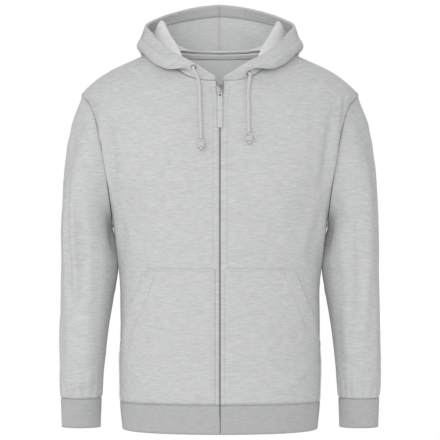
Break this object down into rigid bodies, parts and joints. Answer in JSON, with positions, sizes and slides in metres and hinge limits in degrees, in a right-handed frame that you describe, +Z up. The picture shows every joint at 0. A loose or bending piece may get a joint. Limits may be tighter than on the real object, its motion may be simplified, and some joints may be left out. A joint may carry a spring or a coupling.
{
  "type": "zip up hoodie",
  "caption": "Heather grey zip hoodie, filled out with no wearer, sleeves hanging at the sides, hood lying open behind the neck, split kangaroo pocket and long zip pull.",
  "frame": {"origin": "the middle of the neck opening, between the shoulders, where the wearer's shoulders carry the garment, 14 mm below the back neck seam", "axes": "+Z up along the body, -Y to the front where the zip is, +X to the wearer's left"},
  "size_m": [0.6012, 0.3349, 0.8113],
  "materials": {
    "fleece": "heather jersey face, short horizontal light and dark streaks",
    "rib": "fine vertical rib",
    "lining": "plain jersey",
    "tape": "woven tape",
    "cord": "round braid",
    "pull": "flat woven tape",
    "metal": "satin nickel"
  },
  "bodies": {
    "garment": {"front_left": "fleece", "front_right": "fleece", "back": "fleece", "sleeve_left": "fleece", "sleeve_right": "fleece", "cuff_left": "rib", "cuff_right": "rib", "hem_band": "rib", "hood_left": "fleece", "hood_right": "fleece", "hood_lining_left": "lining", "hood_lining_right": "lining", "pocket_left": "fleece", "pocket_right": "fleece", "neck_tape": "tape", "zip_tape_left": "tape", "zip_tape_right": "tape", "zip_slider": "metal", "eyelet_left": "metal", "eyelet_right": "metal", "drawcord_left": "cord", "drawcord_right": "cord", "knot_left": "cord", "knot_right": "cord"},
    "pull": {"zip_pull": "pull"}
  },
  "joints": [
    {"name": "pull_swing", "type": "hinge", "parent": "garment", "child": "pull", "pos_m": [0, -0.11005, -0.06884], "axis": [-1, 0, 0], "range_deg": [0, 150]}
  ]
}
